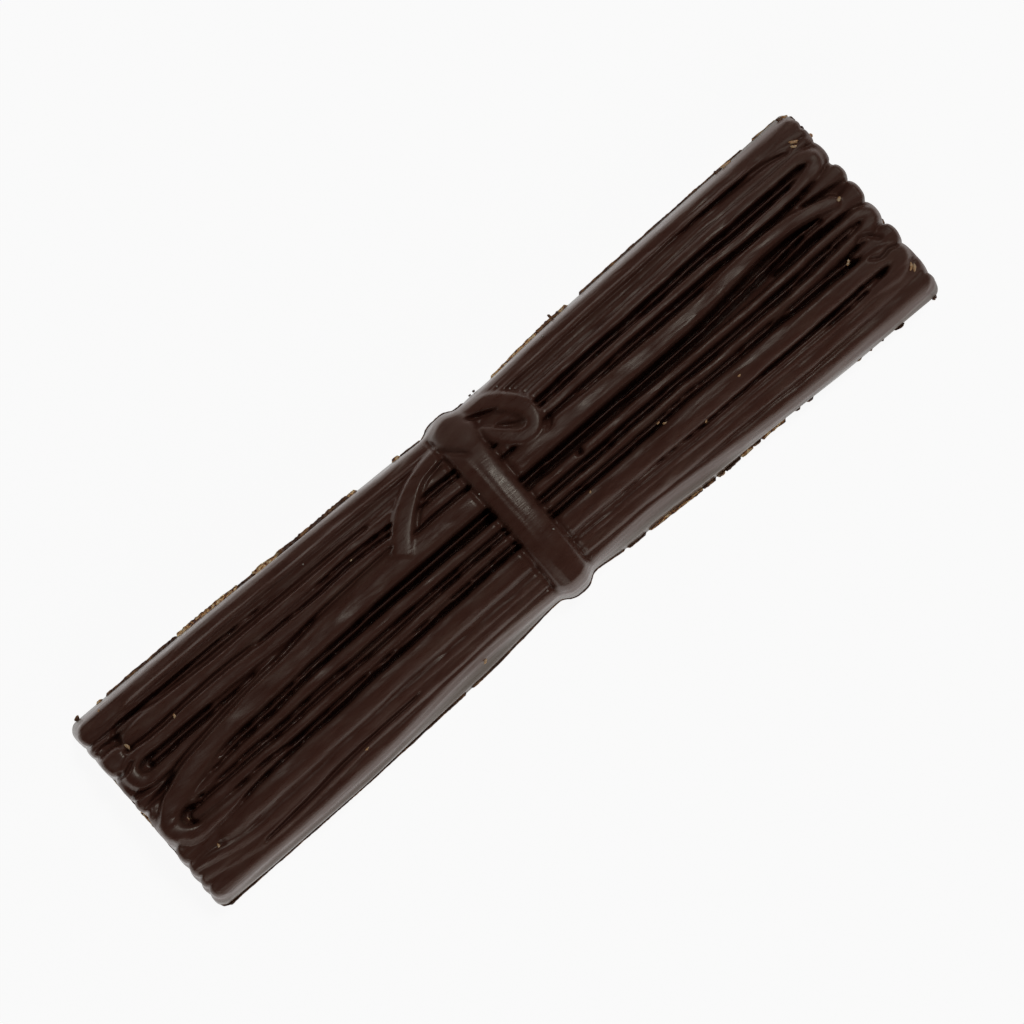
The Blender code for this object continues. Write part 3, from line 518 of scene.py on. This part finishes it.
def lay(relief, x, y, route, depth, power, square_ends=False):
    """Raise the relief to a strand along the route, wherever the strand is higher.

    The route has x, y, half width and height. The edges lie depth(half width) lower.
    """
    last = route.shape[1] - 2
    for k in range(last + 1):
        (x0, y0, w0, z0), (x1, y1, w1, z1) = route[:, k], route[:, k + 1]
        length = math.hypot(x1 - x0, y1 - y0)
        reach = max(w0, w1)
        rows = (x.max(axis=1) > min(x0, x1) - reach) & (x.min(axis=1) < max(x0, x1) + reach)
        if length < 1e-6 or not rows.any():
            continue
        px, py = x[rows], y[rows]
        t = ((px - x0) * (x1 - x0) + (py - y0) * (y1 - y0)) / length**2
        kept = np.ones_like(t, bool)
        if square_ends:
            kept = (t > (0 if k == 0 else -0.5)) & (t < (1 if k == last else 1.5))
        t = np.clip(t, 0, 1)
        half = w0 + t * (w1 - w0)
        share = np.hypot(px - x0 - t * (x1 - x0), py - y0 - t * (y1 - y0)) / half
        height = z0 + t * (z1 - z0) - depth(half) * fall(share, power)
        kept &= (share < 1) & (height > relief[rows])
        relief[rows] = np.where(kept, height, relief[rows])


def pod_depth(half):
    """How much lower than its middle a pod's edges lie, for its half width."""
    return np.minimum(ROUNDNESS * half, DEEPEST)


def floor_relief(x, y):
    """The floor between the pods against the dome, which rises towards the ends."""
    near_end = np.clip((np.abs(x) - END_RISE_FROM) / END_RISE_LENGTH, 0, 1)
    floor = GULLY - DEEP_GAIN * bell(y - DEEP_Y, DEEP_REACH)
    return floor + (END_GULLY - floor) * near_end


def pods_relief(x, y):
    """The pods' surface against the dome."""
    relief = floor_relief(x, y)
    for stub in STUBS + (LOOP_FILL,):
        route = np.vstack([np.array([stub.start, stub.end]).T, stub.half_widths, stub.rises])
        lay(relief, x, y, route, pod_depth, SQUARENESS + SQUARE_GAIN * max(stub.half_widths))
    for pod in PODS:
        power = SQUARENESS + SQUARE_GAIN * pod.half_widths[2]
        lay(relief, x, y, pod_route(pod), pod_depth, power)
    return relief


def wander(x, y):
    """Places shifted sideways, so that the pods' edges waver along the bar."""
    return y + sum(noise(x, y, sizes) for sizes in WANDER)


def wrinkles(x, y):
    """Long shallow furrows and lumps that the pods' skins have."""
    lumps = sum(noise(x, y, sizes) for sizes in LUMPS)
    furrows = np.clip(1 - np.abs(noise(x, y, FURROWS)) / FURROW_HALF, 0, 1)
    return lumps - FURROW_DEPTH * furrows


def band_relief(x, y):
    """The band across the pods: a flat loaf with a few folds along it."""
    from_middle = x - BAND_X
    folds = sum(rise * bell(from_middle - at, half) for at, rise, half in BAND_FOLDS)
    folds += noise(y, x, BAND_NOISE)
    folds += BAND_CROWN * bell(from_middle, CROWN_HALF) * above(-y, -CROWN_END, CROWN_FADE)
    return BAND_RISE + folds - RIBBON_DEPTH * fall(from_middle / BAND_HALF, BAND_SQUARENESS)


def crease(x, y):
    """Depth of the crease in the knot, with a low ridge along its upper side."""
    (x0, y0), (x1, y1) = CREASE
    length = math.hypot(x1 - x0, y1 - y0)
    along = ((x - x0) * (x1 - x0) + (y - y0) * (y1 - y0)) / length
    aside = ((x - x0) * (y1 - y0) - (y - y0) * (x1 - x0)) / length
    kept = np.clip(CREASE_STEEPNESS * np.minimum(along, length - along), 0, 1)
    ridge = CREASE_RIDGE * bell(aside + CREASE_RIDGE_OFF, CREASE_HALF)
    return CREASE_DEPTH * kept * (bell(aside, CREASE_HALF) - ridge)


def gaps(x, y):
    """Depth of the narrow gaps along pods and ribbons that touch."""
    share = np.full_like(x, -1.0)
    for points in GAPS:
        lay(share, x, y, point_route(points, 0), lambda half: 1.0, 2.0)
    return GAP_DEPTH * (share + 1)


def tie_relief(relief, x, y):
    """The ribbon over the pods: the tail and the loop, then the band, then the knot."""
    for points in (TAIL, LOOP):
        route = point_route(points, RIBBON_RISE)
        lay(relief, x, y, route, lambda half: RIBBON_DEPTH, RIBBON_SQUARENESS, True)
    from_band = np.abs(x - BAND_X) - BAND_HALF
    dip = BAND_GAP * bell(np.clip(from_band, 0, 9), BAND_GAP_REACH)
    relief = relief - dip * above(relief, GAP_FLOOR, GAP_FADE)
    relief = np.where(from_band < 0, np.maximum(relief, band_relief(x, y)), relief)
    lay(relief, x, y, np.array(KNOT).T, lambda half: KNOT_DEPTH, KNOT_SQUARENESS)
    return relief - crease(x, y) - gaps(x, y)


def pinhole(x, y):
    """Depth of the one small air hole in the top."""
    share = ((x - HOLE_X) / HOLE_HALF_X) ** 2 + ((y - HOLE_Y) / HOLE_HALF_Y) ** 2
    return HOLE_DEPTH * np.exp(-(share**2))


def dome(x, y):
    """The body without its pods: highest along the middle, rounded down all round."""
    across = np.clip(np.abs(y) / half_width(x, y, 1), 0, 1)
    height = SHOULDER + (DOME - SHOULDER) * (1 - across**DOME_POWER)
    near = np.clip(1 - (end_limit(x, y, 1) - np.abs(x)) / END_ROUND, 0, 1)
    return height * (1 - END_DROP * fall(near))


def top_height(x, y):
    """Height of the bar's moulded top above its back."""
    pods = pods_relief(x, wander(x, y))
    pods += wrinkles(x, y) * above(pods, SKIN_FLOOR, SKIN_FADE)
    relief = tie_relief(pods, x, y)
    from_side = half_width(x, y, 1) - np.abs(y)
    rounding = np.where(y > 0, EDGE_ROUNDS[1], EDGE_ROUNDS[-1])
    edge = EDGE_DROP * fall(np.clip(1 - from_side / rounding, 0, 1))
    kept = np.clip(SIDE_RELIEF + from_side / SIDE_REACH, 0, 1)
    return dome(x, y) - edge - pinhole(x, y) + relief * kept


# ---------------------------------------------------------------- the mesh of the bar


def row_places():
    """Rows from -1 to 1 along the bar, closer together at the ends and round the tie."""
    x = [-LENGTH / 2]
    while x[-1] < LENGTH / 2:
        plain = PLAIN_STRETCH[0] < abs(x[-1]) < PLAIN_STRETCH[1]
        x.append(x[-1] + (PLAIN_STEP if plain else FINE_STEP))
    x = np.array(x)
    return 2 * (x - x[0]) / (x[-1] - x[0]) - 1


def column_places():
    """Columns from -1 to 1 across the bar, closer together along the sides."""
    v = np.linspace(-1, 1, COLUMNS + 1)
    return (1 - CROWDING) * v + CROWDING * np.sin(v * math.pi / 2)


def soften(heights):
    """Round the creases off: each height becomes the mean of itself and its neighbours."""
    for axis, passes in enumerate(SOFTENING):
        for _ in range(passes):
            padded = np.pad(heights, [(1, 1) if k == axis else (0, 0) for k in (0, 1)], "edge")
            before = np.take(padded, range(0, heights.shape[axis]), axis)
            after = np.take(padded, range(2, heights.shape[axis] + 2), axis)
            heights = (before + 2 * heights + after) / 4
    return heights


def wall_ripples(x, level, side):
    """Long shallow ripples in the walls, from the shoulder at 1 down to the back at 0."""
    up = RIPPLE_SPAN * level
    ripples = noise(x, up + RIPPLE_SHIFT * side, LONG_RIPPLES) + noise(x, up, SHORT_RIPPLES)
    return ripples * np.clip(4 * (1 - level), 0, 1)


def wall_rings(edge, rows, columns):
    """Rings of points down the walls, from just under the top's edge to the foot."""
    base = np.stack([*footprint(rows, columns, 0), np.zeros_like(rows)], -1)
    outward = (base - edge) / np.linalg.norm((base - edge)[:, :2], axis=1, keepdims=True)
    outward[:, 2] = 0
    side_share = outward[:, 1:2] ** 2
    side_inset = foot_inset(base[:, 0], columns)[:, None]
    end_inset = np.where(base[:, :1] > 0, END_INSETS[1], END_INSETS[-1])
    foot = base - (side_inset * side_share + end_inset * (1 - side_share)) * outward
    swelling = side_share * np.where(outward[:, 1:2] > 0, BELLY_SHARES[1], BELLY_SHARES[-1])
    for down in np.arange(1, WALL_RINGS + 1) / WALL_RINGS:
        swell = WALL_BELLY * math.sin(math.pi * down)
        swell += wall_ripples(edge[:, :1], 1 - down, np.sign(columns)[:, None])
        swell *= min(1, 3 * (1 - down)) * swelling
        yield edge + (foot - edge) * down + outward * swell


def bar_mesh():
    """The whole bar as one closed mesh: the moulded top, the walls and the flat back."""
    rows, columns = np.meshgrid(row_places(), column_places(), indexing="ij")
    x, y = footprint(rows, columns, 1)
    top = np.stack([x, y, soften(top_height(x, y))], axis=-1)
    index = np.arange(x.size).reshape(x.shape)
    quads = np.stack([index[:-1, :-1], index[1:, :-1], index[1:, 1:], index[:-1, 1:]], -1)
    border = np.concatenate([index[:-1, 0], index[-1, :-1], index[:0:-1, -1], index[0, :0:-1]])
    points, faces, last = [top.reshape(-1, 3)], [quads.reshape(-1, 4)], border
    for ring in wall_rings(points[0][border], rows.ravel()[border], columns.ravel()[border]):
        fresh = last.max() + 1 + np.arange(len(border))
        points.append(ring)
        faces.append(np.stack([last, fresh, np.roll(fresh, -1), np.roll(last, -1)], -1))
        last = fresh
    back = last[::-1].tolist()
    return new_mesh("chocolate_bar", points, np.concatenate(faces).tolist() + [back])


def new_mesh(name, points, faces):
    """A mesh in the frame's metres, from lists of points in the casting's millimetres."""
    centre = (LOW + HIGH) / 2
    vertices = np.concatenate(points) * MM + np.array([centre.x, centre.y, LOW.z])
    mesh = bpy.data.meshes.new(name)
    mesh.from_pydata(vertices.tolist(), [], faces)
    mesh.update()
    return mesh


# ---------------------------------------------------------------- meshes of the loose bits


def tube_faces(rings, sides, start):
    """Quads and two end caps that join the rings of a closed tube into one skin."""
    index = start + np.arange(rings * sides).reshape(rings, sides)
    after = np.roll(index, -1, axis=1)
    quads = np.stack([index[:-1], after[:-1], after[1:], index[1:]], -1).reshape(-1, 4).tolist()
    return quads + [index[0][::-1].tolist(), index[-1].tolist()]


def flake(x, y, z, length, width, turn, seed):
    """Points of one bent, lumpy splinter that lies flat at that height."""
    places = np.linspace(-1, 1, FLAKE_RINGS)
    turns = np.arange(FLAKE_SIDES) / FLAKE_SIDES * 2 * math.pi
    along, around = np.meshgrid(places, turns, indexing="ij")
    lumps = 1 + FLAKE_LUMPS * np.random.default_rng(seed).uniform(-1, 1, along.shape)
    radius = width / 2 * (1 - FLAKE_TAPER * along**4) * lumps
    u = along * length / 2
    v = radius * np.cos(around) + FLAKE_BEND * length * along**2
    angle = math.radians(turn)
    return np.stack([
        x + u * math.cos(angle) - v * math.sin(angle),
        y + u * math.sin(angle) + v * math.cos(angle),
        z + FLAKE_THICKNESS * radius * np.sin(around),
    ], -1).reshape(-1, 3)


def surface_height(x, y):
    """Height of the bar at one place, on its moulded top or on a long wall, or 0 beyond it."""
    side = math.copysign(1, y)
    foot = float(half_width(x, side, 0) - foot_inset(x, side))
    shoulder = float(half_width(x, side, 1))
    if abs(x) > LENGTH / 2 - END_INSETS[1] or abs(y) > foot:
        return 0.0
    if abs(y) > shoulder:
        return SHOULDER * (foot - abs(y)) / (foot - shoulder)
    offsets = PROBE * np.arange(-1, 2)
    near_x, near_y = np.meshgrid(x + offsets, y + offsets)
    return float(np.median(top_height(near_x, near_y)))


def flakes_mesh(name, sizes):
    """One mesh of all the splinters of one kind."""
    points, faces = [], []
    for seed, (x, y, length, width, turn) in enumerate(sizes):
        height = surface_height(x, y) + FLAKE_LIFT * width
        faces += tube_faces(FLAKE_RINGS, FLAKE_SIDES, seed * FLAKE_RINGS * FLAKE_SIDES)
        points.append(flake(x, y, height, length, width, turn, seed))
    return new_mesh(name, points, faces)


def foot_line(wall, along):
    """x and y of the foot of one wall, at places along it, and the direction out of it."""
    sign = 1 if wall[0] == "+" else -1
    if wall[1] == "y":
        foot = half_width(along, sign, 0) - foot_inset(along, sign)
        return along, sign * foot, (0, sign)
    return sign * (half_length(along, sign, 0) - END_INSETS[sign]), along, (sign, 0)


def flash_rings(wall, start, end, reach):
    """Sections of one ragged strip of flash along the foot of a wall."""
    along = np.linspace(start, end, int((end - start) / FLASH_STEP) + 4)
    x, y, (out_x, out_y) = foot_line(wall, along)
    ragged = FLASH_REACH + sum(noise(along, 0 * along, sizes) for sizes in FLASH_WAVES)
    out = reach * np.clip(ragged, *FLASH_LIMITS)
    out *= np.clip(FLASH_TAPER * np.minimum(along - start, end - along), 0.05, 1)
    tall = FLASH_HEIGHT * (1 - FLASH_HEIGHTS[0] + noise(along, 0 * along, FLASH_HEIGHTS))
    section = FLASH_SECTION if out_y > out_x else FLASH_SECTION[::-1]
    rings = []
    for across, up in section:
        shift = np.where(across < 0, across, across * out)
        rings.append(np.stack([x + out_x * shift, y + out_y * shift, up * tall], -1))
    return np.stack(rings, axis=1)


def flash_mesh(name, runs):
    """Thin ragged strips of flash that stand out of the feet of the walls."""
    points, faces, count = [], [], 0
    for run in runs:
        rings = flash_rings(*run)
        faces += tube_faces(rings.shape[0], rings.shape[1], count)
        points.append(rings.reshape(-1, 3))
        count += len(points[-1])
    return new_mesh(name, points, faces)


# ---------------------------------------------------------------- the parts of a material


def new_material(name):
    """A new material, with its node tree and its shader."""
    material = bpy.data.materials.new(name)
    material.use_nodes = True
    return material, material.node_tree, material.node_tree.nodes["Principled BSDF"]


def feed(tree, socket, value):
    """Give an input a number, or link it to another node's output."""
    if isinstance(value, bpy.types.NodeSocket):
        tree.links.new(value, socket)
    else:
        socket.default_value = value


def place_of(tree):
    """The place in the object's own metres."""
    return tree.nodes.new("ShaderNodeTexCoord").outputs["Object"]


def stretched_noise(tree, size, detail=3.0):
    """Noise in object space, in patches of about that size along x, y and z, in millimetres."""
    mapping = tree.nodes.new("ShaderNodeMapping")
    mapping.inputs["Scale"].default_value = [1 / (MM * length) for length in size]
    texture = tree.nodes.new("ShaderNodeTexNoise")
    texture.inputs["Scale"].default_value = 1.0
    texture.inputs["Detail"].default_value = detail
    feed(tree, mapping.inputs["Vector"], place_of(tree))
    feed(tree, texture.inputs["Vector"], mapping.outputs["Vector"])
    return texture.outputs["Fac"]


def ramp_of(tree, value, stops):
    """A ramp through (position, colour) stops, read at a value."""
    ramp = tree.nodes.new("ShaderNodeValToRGB")
    elements = ramp.color_ramp.elements
    while len(elements) < len(stops):
        elements.new(0.5)
    for element, (position, colour) in zip(elements, stops):
        element.position = position
        element.color = (*colour, 1)
    feed(tree, ramp.inputs["Fac"], value)
    return ramp.outputs["Color"]


def spread(tree, value, before, after):
    """A value between two limits, spread over the range between two others."""
    node = tree.nodes.new("ShaderNodeMapRange")
    node.inputs["From Min"].default_value, node.inputs["From Max"].default_value = before
    node.inputs["To Min"].default_value, node.inputs["To Max"].default_value = after
    feed(tree, node.inputs["Value"], value)
    return node.outputs["Result"]


def mixed_value(tree, share, first, second):
    """The first value where the share is 0, and the second where it is 1."""
    node = tree.nodes.new("ShaderNodeMix")
    for place, value in ((0, share), (2, first), (3, second)):
        feed(tree, node.inputs[place], value)
    return node.outputs[0]


def mixed_colour(tree, share, first, second):
    """The first colour where the share is 0, and the second where it is 1."""
    node = tree.nodes.new("ShaderNodeMix")
    node.data_type = "RGBA"
    for place, value in ((0, share), (6, first), (7, second)):
        feed(tree, node.inputs[place], value)
    return node.outputs[2]


def bump_of(tree, height, strength, distance):
    """The normal of a surface with marks of that depth in it."""
    bump = tree.nodes.new("ShaderNodeBump")
    bump.inputs["Strength"].default_value = strength
    bump.inputs["Distance"].default_value = distance * MM
    feed(tree, bump.inputs["Height"], height)
    return bump.outputs["Normal"]


# ---------------------------------------------------------------- materials


def chocolate_brown(tree, on_top):
    """Patches of brown, warmer on the moulded top; the walls' greener brown is a painted tint of the
    pale card's reflection in them.
    """
    patches = stretched_noise(tree, BROWN_PATCH, 4.0)
    # the walls' brown, which carries a painted tint of the reflected card
    walls = ramp_of(tree, patches, WALL_BROWNS_PAINTED_GLEAM)
    return mixed_colour(tree, on_top, walls, ramp_of(tree, patches, TOP_BROWNS))


def dullness(tree, x):
    """How dull the chocolate is: more towards the right end, and most on the knot."""
    right_end = spread(tree, x, [place * MM for place in DULL_END], (0, DULL_END_SHARE))
    from_knot = tree.nodes.new("ShaderNodeVectorMath")
    from_knot.operation = "DISTANCE"
    from_knot.inputs[1].default_value = [place * MM for place in DULL_KNOT]
    feed(tree, from_knot.inputs[0], place_of(tree))
    reaches = [reach * MM for reach in DULL_KNOT_REACH]
    either = tree.nodes.new("ShaderNodeMath")
    either.operation = "MAXIMUM"
    feed(tree, either.inputs[0], right_end)
    feed(tree, either.inputs[1], spread(tree, from_knot.outputs["Value"], reaches, (0, 1)))
    return either.outputs[0]


def chocolate_roughness(tree, x, on_top):
    """A patchy gloss on the moulded top, an even one on the walls, and duller places."""
    patches = stretched_noise(tree, GLOSS_PATCH)
    top = spread(tree, patches, MOTTLE, TOP_ROUGHNESS)
    gloss = mixed_value(tree, on_top, WALL_ROUGHNESS, top)
    return mixed_value(tree, dullness(tree, x), gloss, DULL_ROUGHNESS)


def chocolate():
    """Satin dark chocolate: mixed browns, a patchy gloss and fine marks along the bar."""
    material, tree, shader = new_material("dark_chocolate")
    shader.inputs["Specular Tint"].default_value = GLEAM_TINT
    split = tree.nodes.new("ShaderNodeSeparateXYZ")
    feed(tree, split.inputs[0], place_of(tree))
    heights = [LOW.z + height * MM for height in BROWN_CHANGE]
    on_top = spread(tree, split.outputs["Z"], heights, (0, 1))
    feed(tree, shader.inputs["Base Color"], chocolate_brown(tree, on_top))
    feed(tree, shader.inputs["Roughness"], chocolate_roughness(tree, split.outputs["X"], on_top))
    marks = stretched_noise(tree, MARK_SIZE)
    feed(tree, shader.inputs["Normal"], bump_of(tree, marks, MARK_STRENGTH, MARK_DEPTH))
    return material


def crumb_material(name, stops, size, roughness):
    """A mottled, pitted material for one kind of loose bit, with patches of that size."""
    material, tree, shader = new_material(name)
    patches = stretched_noise(tree, size, 4.0)
    feed(tree, shader.inputs["Base Color"], ramp_of(tree, patches, stops))
    feed(tree, shader.inputs["Roughness"], spread(tree, patches, MOTTLE, roughness))
    pits = stretched_noise(tree, PIT_SIZE)
    feed(tree, shader.inputs["Normal"], bump_of(tree, pits, PIT_STRENGTH, PIT_DEPTH))
    return material


def gold_flash_material():
    """Mottled gold to dark brown, which lets half of the light through."""
    material = crumb_material("golden_flash", FLASH_GOLDS, (0.7, 0.35, 0.35), (0.35, 0.6))
    shader = material.node_tree.nodes["Principled BSDF"]
    shader.inputs["Transmission Weight"].default_value = 0.5
    return material


# ---------------------------------------------------------------- the pieces


def add_piece(name, mesh, material):
    """A new piece that moves with the bar."""
    mesh.materials.append(material)
    mesh.shade_smooth()
    piece = bpy.data.objects.new(name, mesh)
    bpy.context.scene.collection.objects.link(piece)
    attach(piece, "root")
    return piece


def add_bar():
    """The bar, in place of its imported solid."""
    bar = add_piece("chocolate_bar", bar_mesh(), chocolate())
    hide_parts("chocolate_bundle")


def add_bits():
    """The golden flecks, the crumbs and flash at the foot of the walls, and the pale specks. The
    dark runs of flash are partly painted shade, and the pale specks on the band are painted
    highlights.
    """
    fleck = crumb_material("golden_crumb", FLECK_GOLDS, (0.5, 0.5, 0.5), (0.28, 0.5))
    gold = gold_flash_material()
    # dark browns of the crumbs and of the dark runs, which are partly painted shade at the walls'
    # feet
    dark = crumb_material("dark_flash_and_foot_shade", DARK_BROWNS_AND_FOOT_SHADE, (1.6, 0.8, 0.8), (0.35, 0.6))
    # pale grey for the specks, those on the band being painted highlights
    pale = crumb_material("pale_speck_and_glint", SPECK_AND_GLINT_GREYS, (0.2, 0.2, 0.2), (0.4, 0.6))
    specks = [(x, y, *SPECK_SIZE, SPECK_TURN * k) for k, (x, y) in enumerate(SPECKS_AND_GLINTS)]
    add_piece("golden_flecks", flakes_mesh("golden_flecks", FLECKS), fleck)
    add_piece("dark_crumbs", flakes_mesh("dark_crumbs", DARK_CRUMBS), dark)
    add_piece("pale_specks_and_glints", flakes_mesh("pale_specks_and_glints", specks), pale)
    add_piece("golden_flash", flash_mesh("golden_flash", GOLDEN_FLASH), gold)
    # the dark runs of flash, partly painted shade along the walls' feet
    add_piece("dark_flash_and_foot_shade", flash_mesh("dark_flash_and_foot_shade", DARK_FLASH_AND_FOOT_SHADE), dark)


# ---------------------------------------------------------------- the studio


def add_floor():
    """A wide pale card just under the bar."""
    place = (0, 0, LOW.z - FLOOR_DROP)
    bpy.ops.mesh.primitive_plane_add(size=FLOOR_SIZE, location=place)
    floor = bpy.context.object
    floor.name = "floor"
    material, _, shader = new_material("white_card")
    shader.inputs["Base Color"].default_value = (FLOOR_GREY, FLOOR_GREY, FLOOR_GREY, 1)
    shader.inputs["Roughness"].default_value = 0.9
    shader.inputs["Emission Color"].default_value = (1, 1, 1, 1)
    shader.inputs["Emission Strength"].default_value = FLOOR_GLOW
    floor.data.materials.append(material)
    floor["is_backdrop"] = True


def add_camera():
    """A camera almost straight above the bar, which lies aslant in its view."""
    data = bpy.data.cameras.new("camera")
    data.sensor_width = SENSOR
    data.lens = SENSOR * DISTANCE / VIEW_WIDTH
    data.clip_start = 0.01
    camera = bpy.data.objects.new("camera", data)
    bpy.context.scene.collection.objects.link(camera)
    up = Vector((math.sin(ROLL), math.cos(ROLL), 0))
    right = Vector((math.cos(ROLL), -math.sin(ROLL), 0))
    back = Vector((0, 0, 1)) * math.cos(TILT) - up * math.sin(TILT)
    screen_up = back.cross(right)
    target = Vector((AIM[0] * MM, AIM[1] * MM, LOW.z))
    rotation = Matrix((right, screen_up, back)).transposed().to_4x4()
    camera.matrix_world = Matrix.Translation(target + back * DISTANCE) @ rotation
    bpy.context.scene.camera = camera


def add_light(name, position, size, energy):
    """A soft rectangular light that faces the middle of the bar."""
    data = bpy.data.lights.new(name, "AREA")
    data.shape = "RECTANGLE"
    data.size, data.size_y = size
    data.energy = energy
    light = bpy.data.objects.new(name, data)
    bpy.context.scene.collection.objects.link(light)
    light.location = position
    light.rotation_euler = Vector(position).to_track_quat("Z", "Y").to_euler()


def add_world():
    """A dim surround, lighter low down than overhead."""
    world = bpy.data.worlds.new("studio")
    bpy.context.scene.world = world
    world.use_nodes = True
    tree = world.node_tree
    split = tree.nodes.new("ShaderNodeSeparateXYZ")
    feed(tree, split.inputs[0], tree.nodes.new("ShaderNodeTexCoord").outputs["Generated"])
    background = tree.nodes["Background"]
    feed(tree, background.inputs["Color"], ramp_of(tree, split.outputs["Z"], SKY))
    background.inputs["Strength"].default_value = 1.0


add_bar()
add_bits()
add_floor()
add_camera()
add_world()
for light in LIGHTS:
    add_light(*light)
bpy.context.scene.view_settings.view_transform = "Standard"

boxes = {"cad": CAD_BOX, "visual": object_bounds()}
{name: [list(corner) for corner in box] for name, box in boxes.items()}
